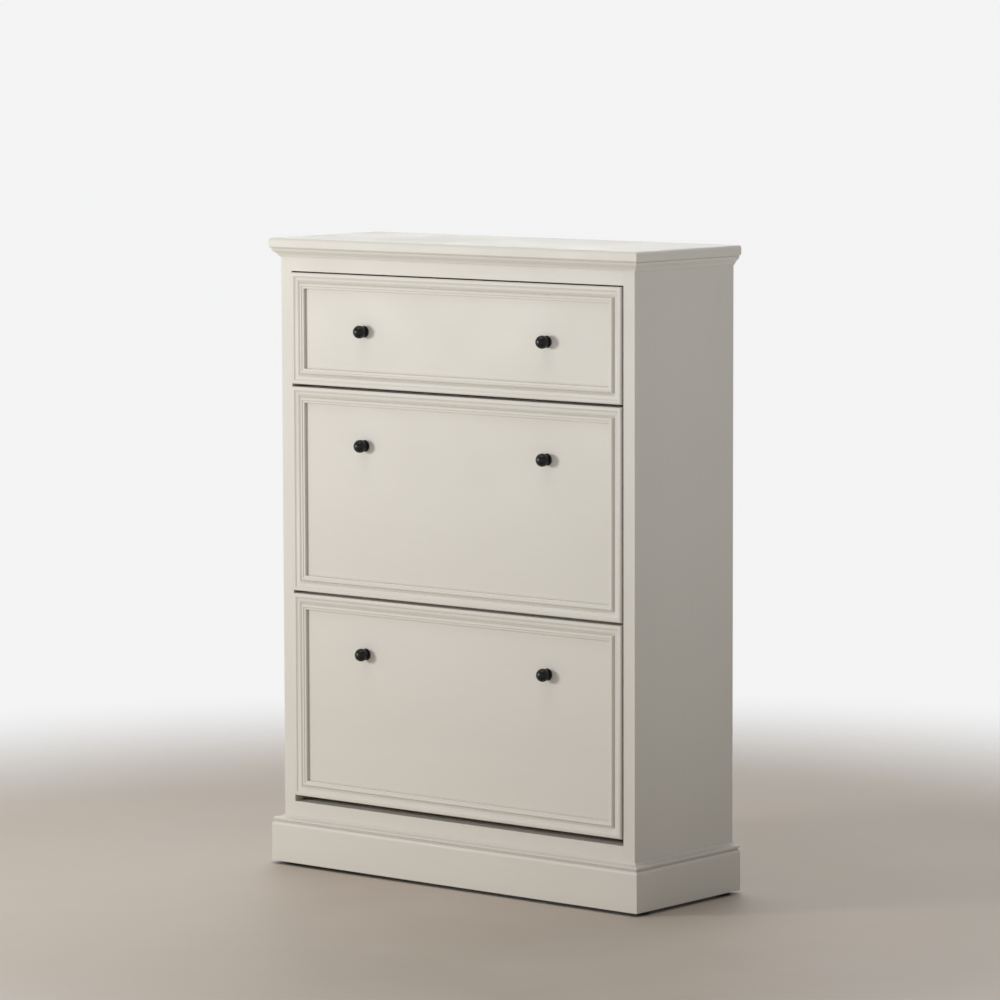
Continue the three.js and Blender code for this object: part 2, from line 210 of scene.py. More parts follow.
edgeWear = buildEdgeWear()
creviceShade = buildCreviceShade()
grain = buildGrain()
sprayedCoat = buildSprayedCoat()
print("shared effects built")


def startMaterial(name, **constants):
    material = bpy.data.materials.new(name)
    material.use_nodes = True
    tree = material.node_tree
    shader = tree.nodes["Principled BSDF"]
    for key, value in constants.items():
        shader.inputs[key.replace("_", " ").title().replace("Ior", "IOR")].default_value = value
    return material, tree, shader.inputs


# How fibres run: small along the board, large across it.
grainAlong = {"x": (0.03, 1.0, 1.0), "y": (1.0, 0.03, 1.0), "z": (1.0, 1.0, 0.03)}

greige = {
    "color": (0.652, 0.626, 0.566),
    # painted shade: the darker tone laid into crevices and moulding quirks
    "creviceShadeColor": (0.50, 0.465, 0.40),
    "wornColor": (0.74, 0.72, 0.67),
    "toneSpread": 0.022,
    "roughness": 0.48,
    "roughSpread": 0.07,
    "specular": 0.26,
    "coat": 0.02,
    "coatRoughness": 0.35,
    "fibreScale": 420.0,
    "fibreBump": 0.10,
    "dimpleScale": 620.0,
    "dimpleBump": 0.16,
    "bumpDepth": 0.00006,
    "creviceReach": 0.0045,
    "creviceAmount": 0.35,
    # painted shadow: near black laid into the narrowest gaps around the fronts
    "gapShadowColor": (0.035, 0.030, 0.024),
    "gapShadowAmount": 0.9,
    "edgeWidth": 0.0011,
    "edgeAmount": 0.30,
    "driftScale": 5.0,
    "patchScale": 7.0,
    "wearScale": 26.0,
    "wearShine": -0.08,  # change of roughness where the paint is rubbed
}

insideGreige = {
    **greige,
    "color": (0.600, 0.570, 0.508),
    # painted shade: the darker tone laid into crevices inside the case
    "creviceShadeColor": (0.44, 0.405, 0.345),
    "roughness": 0.58,
    "coat": 0.0,
    "fibreBump": 0.22,
    "dimpleBump": 0.25,
    "edgeAmount": 0.45,
}


def makePaint(name, look, along):
    material, tree, shader = startMaterial(
        name, specular_ior_level=look["specular"], coat_weight=look["coat"],
        coat_roughness=look["coatRoughness"])
    wood = placeGroup(tree, grain, {
        "Stretch": grainAlong[along], "Scale": look["fibreScale"], "Drift Scale": look["driftScale"]})
    coat = placeGroup(tree, sprayedCoat, {
        "Dimple Scale": look["dimpleScale"], "Patch Scale": look["patchScale"]})
    crevice = placeGroup(tree, creviceShade, {"Reach": look["creviceReach"]})
    worn = placeGroup(tree, edgeWear, {
        "Width": look["edgeWidth"], "Patch Scale": look["wearScale"]})["Mask"]

    spread = look["toneSpread"]
    drift = fit(tree, wood["Drift"], 0.3, 0.7, 1 - spread, 1 + spread)
    fibre = fit(tree, wood["Fibre"], 0.3, 0.7, 1 - spread / 2, 1 + spread / 2)
    tone = calc(tree, "MULTIPLY", drift, fibre)
    tint = addNode(tree, "CombineColor", {"Red": tone, "Green": tone, "Blue": tone}).outputs["Color"]
    base = mixColors(tree, 1.0, (*look["color"], 1.0), tint, "MULTIPLY")
    # painted shade: darker in crevices and quirks, where little light reaches
    shadedShare = calc(tree, "MULTIPLY", crevice["Mask"], look["creviceAmount"])
    shaded = mixColors(tree, shadedShare, base, (*look["creviceShadeColor"], 1.0))
    # painted shadow: near black in the narrowest gaps, where the occlusion is deepest
    gapShadowShare = calc(tree, "MULTIPLY", crevice["Deepest"], look["gapShadowAmount"])
    withGapShadow = mixColors(tree, gapShadowShare, shaded, (*look["gapShadowColor"], 1.0))
    wornShare = calc(tree, "MULTIPLY", worn, look["edgeAmount"])
    finished = mixColors(tree, wornShare, withGapShadow, (*look["wornColor"], 1.0))
    feed(tree, shader["Base Color"], finished)

    satin = fit(
        tree, coat["Patches"], 0.3, 0.7, look["roughness"] - look["roughSpread"],
        look["roughness"] + look["roughSpread"])
    rubbed = calc(tree, "MULTIPLY", worn, look["wearShine"])
    feed(tree, shader["Roughness"], calc(tree, "ADD", satin, rubbed))

    raised = calc(
        tree, "ADD", calc(tree, "MULTIPLY", wood["Fibre"], look["fibreBump"]),
        calc(tree, "MULTIPLY", coat["Dimples"], look["dimpleBump"]))
    bump = addNode(tree, "Bump", {"Strength": 1.0, "Distance": look["bumpDepth"], "Height": raised})
    feed(tree, shader["Normal"], bump.outputs["Normal"])
    return material


blackKnob = {
    "color": (0.0035, 0.0033, 0.0032),
    "rubbedColor": (0.014, 0.013, 0.012),
    "roughness": 0.36,
    "roughSpread": 0.06,
    "dimpleScale": 1500.0,
    "bumpDepth": 0.00008,
    "edgeWidth": 0.0008,
    "patchScale": 60.0,
    "wearScale": 160.0,
}


def makeBlackCoat():
    material, tree, shader = startMaterial(
        "blackPowderCoat", specular_ior_level=0.32, coat_weight=0.08, coat_roughness=0.2)
    coat = placeGroup(tree, sprayedCoat, {
        "Dimple Scale": blackKnob["dimpleScale"], "Patch Scale": blackKnob["patchScale"]})
    worn = placeGroup(tree, edgeWear, {
        "Width": blackKnob["edgeWidth"], "Patch Scale": blackKnob["wearScale"]})["Mask"]
    patchy = fit(tree, coat["Patches"], 0.35, 0.7, 0.0, 0.25)
    base = mixColors(tree, patchy, (*blackKnob["color"], 1.0), (*blackKnob["rubbedColor"], 1.0))
    rubbed = mixColors(
        tree, calc(tree, "MULTIPLY", worn, 0.5), base, (*blackKnob["rubbedColor"], 1.0))
    feed(tree, shader["Base Color"], rubbed)
    feed(tree, shader["Roughness"], fit(
        tree, coat["Patches"], 0.3, 0.7, blackKnob["roughness"] - blackKnob["roughSpread"],
        blackKnob["roughness"] + blackKnob["roughSpread"]))
    bump = addNode(
        tree, "Bump", {"Strength": 0.6, "Distance": blackKnob["bumpDepth"], "Height": coat["Dimples"]})
    feed(tree, shader["Normal"], bump.outputs["Normal"])
    return material


zinc = {
    "color": (0.60, 0.615, 0.63),
    "dullColor": (0.40, 0.41, 0.43),
    # painted shade: the dark tone laid into the slides' crevices
    "zincCreviceShade": (0.16, 0.15, 0.14),
    "rubbedColor": (0.78, 0.79, 0.80),
    "roughness": 0.30,
    "roughSpread": 0.12,
    "lineScale": 900.0,
    "bumpDepth": 0.00003,
}


def makeZinc():
    material, tree, shader = startMaterial("zincSteel", metallic=1.0)
    rolled = placeGroup(tree, grain, {
        "Stretch": grainAlong["y"], "Scale": zinc["lineScale"], "Drift Scale": 60.0})
    worn = placeGroup(tree, edgeWear, {"Width": 0.0005, "Patch Scale": 90.0})["Mask"]
    crevice = placeGroup(tree, creviceShade, {"Reach": 0.003})["Mask"]
    clouded = fit(tree, rolled["Drift"], 0.35, 0.7, 0.0, 0.55)
    base = mixColors(tree, clouded, (*zinc["color"], 1.0), (*zinc["dullColor"], 1.0))
    # painted shade: darker in crevices, where little light reaches
    paintedShade = mixColors(tree, calc(tree, "MULTIPLY", crevice, 0.5), base, (*zinc["zincCreviceShade"], 1.0))
    bright = mixColors(tree, calc(tree, "MULTIPLY", worn, 0.4), paintedShade, (*zinc["rubbedColor"], 1.0))
    feed(tree, shader["Base Color"], bright)
    feed(tree, shader["Roughness"], fit(
        tree, rolled["Fibre"], 0.3, 0.7, zinc["roughness"] - zinc["roughSpread"],
        zinc["roughness"] + zinc["roughSpread"]))
    bump = addNode(
        tree, "Bump", {"Strength": 0.5, "Distance": zinc["bumpDepth"], "Height": rolled["Fibre"]})
    feed(tree, shader["Normal"], bump.outputs["Normal"])
    return material


beech = {
    "lightColor": (0.60, 0.41, 0.245),
    "darkColor": (0.40, 0.245, 0.13),
    "fleckColor": (0.27, 0.15, 0.075),
    "roughness": 0.6,
    "fibreScale": 240.0,
    "bumpDepth": 0.00012,
}


def makeBeech():
    material, tree, shader = startMaterial("planedBeech")
    wood = placeGroup(tree, grain, {
        "Stretch": grainAlong["y"], "Scale": beech["fibreScale"], "Drift Scale": 45.0})
    flecks = placeGroup(tree, grain, {"Stretch": (0.9, 0.22, 1.0), "Scale": 900.0, "Drift Scale": 20.0})
    worn = placeGroup(tree, edgeWear, {"Width": 0.0008, "Patch Scale": 60.0})["Mask"]
    bands = fit(tree, wood["Drift"], 0.35, 0.65, 0.0, 1.0)
    base = mixColors(tree, bands, (*beech["lightColor"], 1.0), (*beech["darkColor"], 1.0))
    pores = fit(tree, flecks["Fibre"], 0.58, 0.68, 0.0, 0.6)
    flecked = mixColors(tree, pores, base, (*beech["fleckColor"], 1.0))
    rubbed = mixColors(tree, calc(tree, "MULTIPLY", worn, 0.35), flecked, (*beech["lightColor"], 1.0))
    feed(tree, shader["Base Color"], rubbed)
    feed(tree, shader["Roughness"], fit(tree, wood["Fibre"], 0.3, 0.7, beech["roughness"], 0.75))
    bump = addNode(
        tree, "Bump", {"Strength": 0.7, "Distance": beech["bumpDepth"], "Height": wood["Fibre"]})
    feed(tree, shader["Normal"], bump.outputs["Normal"])
    return material


plastic = {
    "color": (0.016, 0.016, 0.017),
    "scuffColor": (0.09, 0.088, 0.085),
    "roughness": 0.62,
    "sparkScale": 1900.0,
    "bumpDepth": 0.0001,
}


def makeGlidePlastic():
    material, tree, shader = startMaterial("glidePlastic")
    moulded = placeGroup(tree, sprayedCoat, {"Dimple Scale": plastic["sparkScale"], "Patch Scale": 70.0})
    worn = placeGroup(tree, edgeWear, {"Width": 0.0009, "Patch Scale": 120.0})["Mask"]
    scuffed = fit(tree, moulded["Patches"], 0.5, 0.75, 0.0, 0.35)
    base = mixColors(tree, scuffed, (*plastic["color"], 1.0), (*plastic["scuffColor"], 1.0))
    feed(tree, shader["Base Color"], mixColors(
        tree, calc(tree, "MULTIPLY", worn, 0.6), base, (*plastic["scuffColor"], 1.0)))
    feed(tree, shader["Roughness"], fit(tree, moulded["Patches"], 0.3, 0.7, plastic["roughness"], 0.5))
    bump = addNode(
        tree, "Bump", {"Strength": 0.8, "Distance": plastic["bumpDepth"], "Height": moulded["Dimples"]})
    feed(tree, shader["Normal"], bump.outputs["Normal"])
    return material


paintLook = {axis: makePaint("greigePaint" + axis.upper(), greige, axis) for axis in "xyz"}
insideLook = {axis: makePaint("insidePaint" + axis.upper(), insideGreige, axis) for axis in "xyz"}
blackLook = makeBlackCoat()
zincLook = makeZinc()
beechLook = makeBeech()
plasticLook = makeGlidePlastic()
print("materials mixed")


def arc(u, v, radius, start, end, steps=10):
    turns = [math.radians(start + (end - start) * k / steps) for k in range(steps + 1)]
    return [(u + radius * math.cos(turn), v + radius * math.sin(turn)) for turn in turns]


def curveThrough(points, steps=5):
    # a smooth line through every point
    padded = [points[0], *points, points[-1]]
    made = []
    for before, start, end, after in zip(padded, padded[1:], padded[2:], padded[3:]):
        for k in range(steps):
            t = k / steps
            made.append(tuple(
                0.5 * (2 * s + (e - b) * t + (2 * b - 5 * s + 4 * e - a) * t ** 2
                       + (3 * s - b - 3 * e + a) * t ** 3)
                for b, s, e, a in zip(before, start, end, after)))
    return [*made, points[-1]]


def easeOutline(points, radius, leastTurn=25, steps=3):
    # rounds each corner of a closed outline; radius is one number, or one for each point
    radii = radius if isinstance(radius, list) else [radius] * len(points)
    made = []
    for k, ease in enumerate(radii):
        corner = Vector(points[k])
        toBefore = Vector(points[k - 1]) - corner
        toAfter = Vector(points[(k + 1) % len(points)]) - corner
        turn = math.pi - toBefore.angle(toAfter)
        if ease == 0 or math.degrees(turn) < leastTurn:
            made.append(tuple(corner))
            continue
        cut = min(ease * math.tan(turn / 2), 0.45 * toBefore.length, 0.45 * toAfter.length)
        start, end = corner + toBefore.normalized() * cut, corner + toAfter.normalized() * cut
        for j in range(steps + 1):
            t = j / steps
            made.append(tuple(start * (1 - t) ** 2 + corner * 2 * t * (1 - t) + end * t ** 2))
    return made


smoothBelow = math.radians(40)


def loft(loops, ring=False):
    bm = bmesh.new()
    rows = [[bm.verts.new(point) for point in loop] for loop in loops]
    pairs = list(zip(rows, rows[1:] + rows[:1])) if ring else list(zip(rows, rows[1:]))
    for span, (near, far) in enumerate(pairs):
        for k in range(len(near)):
            j = (k + 1) % len(near)
            face = bm.faces.new((near[k], near[j], far[j], far[k]))
            face.material_index = span % 2 if ring else 0
    if not ring:
        bm.faces.new(rows[0])
        bm.faces.new(rows[-1])
    bmesh.ops.recalc_face_normals(bm, faces=bm.faces)
    return bm


def extrude(outline, axis, start, end):
    place = {
        "x": lambda u, v, w: (w, u, v),
        "y": lambda u, v, w: (u, w, v),
        "z": lambda u, v, w: (u, v, w),
    }[axis]
    return loft([[place(u, v, w) for u, v in outline] for w in (start, end)])


def easeEdges(bm, amount, axes="xyz", segments=3):
    # rounds the sharp edges that run along these axes
    chosen = []
    for edge in bm.edges:
        run = edge.verts[1].co - edge.verts[0].co
        main = max(range(3), key=lambda k: abs(run[k]))
        if edge.calc_face_angle(0) > smoothBelow and "xyz"[main] in axes:
            chosen.append(edge)
    bmesh.ops.bevel(
        bm, geom=chosen, offset=amount, offset_type="OFFSET", segments=segments, profile=0.5,
        affect="EDGES", clamp_overlap=True)
    return bm


def box(low, high):
    outline = [(low.x, low.y), (high.x, low.y), (high.x, high.y), (low.x, high.y)]
    return extrude(outline, "z", low.z, high.z)


def lathe(profile, centre, axis, segments=64):
    # profile holds (radius, height) pairs in millimetres, along axis from centre
    turn = Vector(axis).to_track_quat("Z", "Y")
    loops = []
    for radius, height in profile:
        ring = [Vector((radius * math.cos(a), radius * math.sin(a), height)) * mm for a in
                (2 * math.pi * k / segments for k in range(segments))]
        loops.append([centre + turn @ point for point in ring])
    return loft(loops)


def finishPiece(name, bm, looks, body):
    mesh = bpy.data.meshes.new(name)
    bm.to_mesh(mesh)
    bm.free()
    mesh.shade_smooth()
    mesh.set_sharp_from_angle(angle=smoothBelow)
    for look in looks if isinstance(looks, list) else [looks]:
        mesh.materials.append(look)
    piece = bpy.data.objects.new(name, mesh)
    bpy.context.scene.collection.objects.link(piece)
    flat = piece.modifiers.new("flatFaces", "WEIGHTED_NORMAL")
    flat.keep_sharp = True
    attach(piece, body)
    return piece


def camelName(node):
    first, *rest = node.split("_")
    return first + "".join(word.capitalize() for word in rest)


def standIn(node, bm, looks):
    piece = finishPiece(camelName(node), bm, looks, bodyOfNode[node])
    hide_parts(node)
    return piece


def board(node, look, ease, axes="xyz"):
    return standIn(node, easeEdges(box(*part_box(node)), ease * mm, axes), look)


def cutHoles(piece, cutters):
    # takes each cutter's shape out of the piece
    for bm in cutters:
        mesh = bpy.data.meshes.new("cutter")
        bm.to_mesh(mesh)
        bm.free()
        cutter = bpy.data.objects.new("cutter", mesh)
        bpy.context.scene.collection.objects.link(cutter)
        cut = piece.modifiers.new("cut", "BOOLEAN")
        cut.object, cut.operation, cut.solver = cutter, "DIFFERENCE", "EXACT"
        piece.modifiers.move(len(piece.modifiers) - 1, 0)
        piece.modifiers["flatFaces"].show_viewport = False
        graph = bpy.context.evaluated_depsgraph_get()
        result = bpy.data.meshes.new_from_object(piece.evaluated_get(graph), depsgraph=graph)
        piece.modifiers.remove(piece.modifiers["cut"])
        piece.modifiers["flatFaces"].show_viewport = True
        result.name = piece.name
        piece.data = result
        bpy.data.objects.remove(cutter)
    piece.data.set_sharp_from_angle(angle=smoothBelow)


def bar(axis, radius, start, end, segments=40):
    # a round bar from one point to another
    length = (Vector(end) - Vector(start)).length / mm
    return lathe([(radius, 0), (radius, length)], Vector(start), axis, segments)


topBoardShape = {
    # inset from the edge's furthest point, height over the underside
    "edge": [*arc(3, 3, 3, 270, 180, 10), *arc(5.2, 11.8, 5.2, 180, 90, 14)],
    "corner": 1.2,
}

crownShape = {
    # outward from the case, height over the strip's lower edge
    "profile": [
        (0, 0), (1.2, 0), (1.2, 1.4),
        *curveThrough(
            [(2.8, 2.2), (3.5, 4), (5, 6), (7.8, 8.6), (10.2, 10.6), (11.4, 12.6), (11.9, 14.6)], 4),
        (11.4, 15.2), (11.4, 16), (0, 16)],
    "ease": 0.3,
}

plinthShape = {
    "profile": [
        (0, 0), (16, 0), *[(11.6 + 4.4 * u, 62 + 6.8 * v) for u, v in arc(0, 0, 1, 0, 90, 12)],
        (11.6, 71.8), (14.6, 71.8), (14.6, 74.2),
        *curveThrough([(13.4, 75.2), (9, 75.9), (5, 77), (2, 79)]), (0, 80.5)],
    "ease": 0.5,
}


def buildTopBoard():
    low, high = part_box("top_board")
    corner = topBoardShape["corner"] * mm
    loops = []
    for inset, rise in topBoardShape["edge"]:
        left, right, front = low.x + inset * mm, high.x - inset * mm, low.y + inset * mm
        loop = [(left, high.y), *arc(left + corner, front + corner, corner, 180, 270, 4),
                *arc(right - corner, front + corner, corner, 270, 360, 4), (right, high.y)]
        loops.append([(x, y, low.z + rise * mm) for x, y in loop])
    return standIn("top_board", loft(loops), paintLook["x"])


def buildStrip(kind, shape):
    # one moulded strip on the front and one on each side, mitred where they meet
    radii = [0 if out == 0 else shape["ease"] for out, rise in shape["profile"]]
    profile = [(out * mm, rise * mm) for out, rise in easeOutline(shape["profile"], radii)]
    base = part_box(kind + "_front")[0].z

    def mitre(side):
        return [(side * (caseHalf + out), faceY - out, base + rise) for out, rise in profile]

    standIn(kind + "_front", loft([mitre(-1), mitre(1)]), paintLook["x"])
    for hand, side in hands.items():
        rear = [(side * (caseHalf + out), backY, base + rise) for out, rise in profile]
        standIn(f"{kind}_{hand}", loft([mitre(side), rear]), paintLook["y"])


buildTopBoard()
buildStrip("crown", crownShape)
buildStrip("plinth", plinthShape)
print("top, crown and plinth built")


caseShape = {
    "outerCorner": 1.4,  # the stiles' outer front corners
    "innerCorner": 0.15,
    "rearCorner": 0.9,
    "railEase": 0.5,
    "boardEase": 0.7,
    "pinHole": 3.3,
    "pinHoleDepth": 13,
}


def mirrored(outline, side):
    return [(side * x, y) for x, y in outline]


def buildStile(hand, side):
    low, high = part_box("stile_right")
    corners = [(low.x, low.y), (high.x, low.y), (high.x, high.y), (low.x, high.y)]
    radii = [caseShape["innerCorner"] * mm, caseShape["outerCorner"] * mm, 0, 0]
    outline = mirrored(easeOutline(corners, radii, steps=5), side)
    piece = standIn("stile_" + hand, extrude(outline, "z", low.z, high.z), paintLook["z"])
    holes = []
    for level in ("upper", "lower"):
        pivot = jointPlace[level + "_flap_tilt"]
        start = Vector((side * (low.x - mm), pivot.y, pivot.z))
        end = Vector((side * (low.x + caseShape["pinHoleDepth"] * mm), pivot.y, pivot.z))
        holes.append(bar((side, 0, 0), caseShape["pinHole"], start, end))
    cutHoles(piece, holes)


def buildSidePanel(hand, side):
    low, high = panelLow, panelHigh
    corners = [(low.x, low.y), (high.x, low.y), (high.x, high.y), (low.x, high.y)]
    radii = [0, 0, caseShape["rearCorner"] * mm, caseShape["rearCorner"] * mm]
    outline = mirrored(easeOutline(corners, radii, steps=5), side)
    standIn("side_panel_" + hand, extrude(outline, "z", low.z, high.z), paintLook["z"])


for hand, side in hands.items():
    buildStile(hand, side)
    buildSidePanel(hand, side)
for rail in ("top_rail", "bottom_rail"):
    board(rail, paintLook["x"], caseShape["railEase"], "x")
for shelf in ("bottom_board", "flap_shelf", "drawer_shelf", "back_rail"):
    board(shelf, insideLook["x"], caseShape["boardEase"], "x")
board("back_panel", insideLook["z"], 0.3)
print("case built")


def crossRadius(angle, reach, halfWidth):
    # outline of a cross recess, as a distance from its centre
    folded = abs((math.degrees(angle) + 45) % 90 - 45)
    along = reach / math.cos(math.radians(folded))
    across = halfWidth / max(math.sin(math.radians(folded)), 0.001)
    return min(along, across)


def screwHead(centre, axis, radius, height, segments=48):
    # a domed head with a cross recess, standing on a surface
    turn = Vector(axis).to_track_quat("Z", "Y")
    angles = [2 * math.pi * (k + 0.5) / segments for k in range(segments)]
    dome = [(1, 0), (1, 0.35), (0.93, 0.62), (0.78, 0.84), (0.62, 0.96)]
    rings = [(radius * across, height * up) for across, up in dome]
    loops = [[(r * math.cos(a), r * math.sin(a), h) for a in angles] for r, h in rings]
    for share, h in ((1.0, height), (0.82, height * 0.25)):
        cross = [crossRadius(a, radius * 0.5, radius * 0.15) * share for a in angles]
        loops.append([(r * math.cos(a), r * math.sin(a), h) for r, a in zip(cross, angles)])
    return loft([[centre + turn @ (Vector(point) * mm) for point in loop] for loop in loops])


def joinMeshes(parts):
    whole = bmesh.new()
    for part in parts:
        mesh = bpy.data.meshes.new("part")
        part.to_mesh(mesh)
        part.free()
        whole.from_mesh(mesh)
        bpy.data.meshes.remove(mesh)
    return whole


mouldingShape = {
    # inset from the outer edge, depth below the crest
    "depth": 8,
    "profile": [
        (0, 8), *arc(3, 3, 3, 180, 270, 8),
        *curveThrough([(5.8, 0), (9.2, 2.2), (12.6, 2.7), (16.2, 5.2), (17, 5.3)]),
        *curveThrough([(17, 5.3), (18, 3.1), (19.5, 1.4), (21.2, 0.9), (22.6, 1.4), (23.4, 2.4)], 4)[1:],
        (26.3, 2.6), (27, 3.4), (27, 8)],
    "ease": 0.35,
}

knobShape = {
    # radius and distance out of the slab
    "profile": [
        (9.6, 0), *arc(9.1, 0.9, 0.9, -60, 60, 6),
        *curveThrough([(9.0, 2.1), (7.8, 2.7), (6.5, 3.1), (6.0, 3.6)]),
        *arc(0, 13, 11, -55, 89, 30)],
    "screwRadius": 4.2,
    "screwHeight": 2.2,
}

frontShape = {"slabEase": 0.5, "pinHole": 3.3, "pinHoleDepth": 13}


def buildMoulding(node):
    low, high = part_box(node)
    depth, ease = mouldingShape["depth"], mouldingShape["ease"]
    radii = [0 if drop == depth else ease for inset, drop in mouldingShape["profile"]]
    eased = easeOutline(mouldingShape["profile"], radii)
    profile = [(inset * mm, drop * mm) for inset, drop in eased]
    middle, half = (low + high) / 2, (high - low) / 2
    loops = []
    for sideX, sideZ in ((-1, -1), (1, -1), (1, 1), (-1, 1)):
        loops.append([
            (sideX * (half.x - inset), low.y + drop, middle.z + sideZ * (half.z - inset))
            for inset, drop in profile])
    return standIn(node, loft(loops, ring=True), [paintLook["x"], paintLook["z"]])


def buildKnob(node, slabNode):
    low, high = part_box(node)
    slabFace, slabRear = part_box(slabNode)[0].y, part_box(slabNode)[1].y
    centre = Vector(((low.x + high.x) / 2, slabFace, (low.z + high.z) / 2))
    standIn(node, lathe(knobShape["profile"], centre, (0, -1, 0)), blackLook)
    behind = Vector((centre.x, slabRear, centre.z))
    head = screwHead(behind, (0, 1, 0), knobShape["screwRadius"], knobShape["screwHeight"])
    finishPiece(camelName(node) + "Screw", head, zincLook, bodyOfNode[node])


def buildFront(prefix, node, moulding):
    piece = board(node, paintLook["x"], frontShape["slabEase"])
    buildMoulding(moulding)
    for hand in hands:
        buildKnob(f"{prefix}_knob_{hand}", node)
    return piece


buildFront("drawer", "drawer_front", "drawer_moulding")
for level in ("upper", "lower"):
    flap = buildFront(level, level + "_flap_front", level + "_flap_moulding")
    pivot = jointPlace[level + "_flap_tilt"]
    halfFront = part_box(level + "_flap_front")[1].x
    holes = []
    for side in hands.values():
        start = Vector((side * (halfFront - frontShape["pinHoleDepth"] * mm), pivot.y, pivot.z))
        end = Vector((side * (halfFront + mm), pivot.y, pivot.z))
        holes.append(bar((side, 0, 0), frontShape["pinHole"], start, end))
    cutHoles(flap, holes)
print("fronts built")


binShape = {
    "bendStart": 110, "outerBend": 95, "thickness": 4, "floor": -50, "trayTop": 150, "trayFront": 7.5,
    "cheekMargin": 4, "cheekRearTop": 182, "cheekRearCorner": 8, "cheekSlope": (22, 236.5), "cheekTop": 240,
    "cheekEase": 1.2, "trayEase": 0.5, "dividerEase": 1.5, "pinChamfer": 0.7,
}


def bendOutline(radius, top, steps=24):
    # distance behind the pins and height above them, along one face of the bent tray
    centre = binShape["floor"] + binShape["outerBend"]
    start = binShape["bendStart"]
    bend = arc(start, centre, radius, -90, 0, steps)
    return [(binShape["trayFront"], centre - radius), *bend, (start + radius, top)]


def aboutPivot(outline, pivot):
    return [(pivot.y + back * mm, pivot.z + up * mm) for back, up in outline]


def buildBin(level):
    pivot = jointPlace[level + "_flap_tilt"]
    outer, thin = binShape["outerBend"], binShape["thickness"]
    trayTop = binShape["trayTop"]
    tray = bendOutline(outer, trayTop) + bendOutline(outer - thin, trayTop)[::-1]
    low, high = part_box(level + "_bin_tray")
    bm = extrude(aboutPivot(tray, pivot), "x", low.x, high.x)
    standIn(level + "_bin_tray", easeEdges(bm, binShape["trayEase"] * mm, "xyz", 2), insideLook["x"])

    reach = outer + binShape["cheekMargin"]
    corner, rearTop = binShape["cheekRearCorner"], binShape["cheekRearTop"]
    cheek = bendOutline(reach, rearTop)[:-1]
    cheek += arc(binShape["bendStart"] + reach - corner, rearTop, corner, 0, 104, 10)
    cheek += [binShape["cheekSlope"], (binShape["trayFront"], binShape["cheekTop"])]
    for hand in hands:
        low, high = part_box(f"{level}_bin_cheek_{hand}")
        bm = extrude(aboutPivot(cheek, pivot), "x", low.x, high.x)
        standIn(f"{level}_bin_cheek_{hand}", easeEdges(bm, binShape["cheekEase"] * mm), insideLook["z"])
    board(level + "_bin_divider", insideLook["x"], binShape["dividerEase"], "x")


def buildPivotPin(node, side):
    low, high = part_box(node)
    radius, chamfer = (high.z - low.z) / 2 / mm, binShape["pinChamfer"]
    length = (high.x - low.x) / mm
    tip = radius - chamfer
    profile = [(tip, 0), (radius, chamfer), (radius, length - chamfer), (tip, length)]
    middle = (low + high) / 2
    start = Vector((low.x if side > 0 else high.x, middle.y, middle.z))
    standIn(node, lathe(profile, start, (side, 0, 0), 40), zincLook)


for level in ("upper", "lower"):
    buildBin(level)
    for hand, side in hands.items():
        buildPivotPin(f"{level}_pivot_pin_{hand}", side)
print("flap bins built")


drawerShape = {"groove": 6, "grooveBottom": 6, "grooveHeight": 4.6, "ease": 1.2}
slideShape = {
    "steel": 1.2,
    "bend": 1.0,
    "screwRadius": 3.4,
    "screwHeight": 1.5,
    "screwSteps": (0.12, 0.5, 0.86),  # shares of the slide's length
}


def buildDrawerSide(node, side):
    low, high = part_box("drawer_side_right")
    inner, outer = low.x, high.x
    bottom = low.z + drawerShape["grooveBottom"] * mm
    top, deep = bottom + drawerShape["grooveHeight"] * mm, inner + drawerShape["groove"] * mm
    groove = [(inner, top), (deep, top), (deep, bottom), (inner, bottom)]
    outline = [(outer, low.z), (outer, high.z), (inner, high.z), *groove, (inner, low.z)]
    ease = drawerShape["ease"] * mm
    outline = easeOutline(outline, [ease / 2, ease, ease, 0, 0, 0, 0, ease / 2])
    standIn(node, extrude(mirrored(outline, side), "y", low.y, high.y), insideLook["y"])


def slideMember(node, side, webOutside):
    # a channel whose web is on the case side (webOutside) or on the drawer side
    low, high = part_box(node)
    near, far = (high.x, low.x) if (side > 0) == webOutside else (low.x, high.x)
    steel = slideShape["steel"] * mm
    web = near + (steel if far > near else -steel)
    outline = [
        (near, low.z), (far, low.z), (far, low.z + steel), (web, low.z + steel), (web, high.z - steel),
        (far, high.z - steel), (far, high.z), (near, high.z)]
    bend = slideShape["bend"] * mm
    outside, lip = bend * 1.6, bend / 3
    outline = easeOutline(outline, [outside, lip, lip, bend, bend, lip, lip, outside])
    standIn(node, extrude(outline, "y", low.y, high.y), zincLook)
    return web, low, high


for hand, side in hands.items():
    buildDrawerSide("drawer_side_" + hand, side)
    board("slide_packer_" + hand, beechLook, 0.8)
    web, low, high = slideMember("slide_outer_" + hand, side, True)
    slideMember("slide_middle_" + hand, side, True)
    slideMember("slide_inner_" + hand, side, False)
    heads = []
    for share in slideShape["screwSteps"]:
        place = Vector((web, low.y + (high.y - low.y) * share, (low.z + high.z) / 2))
        heads.append(screwHead(place, (-side, 0, 0), slideShape["screwRadius"], slideShape["screwHeight"]))
    finishPiece("slideScrews" + hand.capitalize(), joinMeshes(heads), zincLook, "carcass")
board("drawer_bottom", insideLook["x"], 0.3)
board("drawer_back", insideLook["x"], drawerShape["ease"], "x")
print("drawer and slides built")


bracketShape = {
    "ease": 0.5, "slotHalf": 3, "slotLow": 14, "slotHigh": 24, "screwReach": 27, "screwRise": 19,
    "screwRadius": 3.8, "screwHeight": 1.8,
}
pinShape = {"radius": 1.9, "height": 0.7, "edge": 9, "spacing": 130}


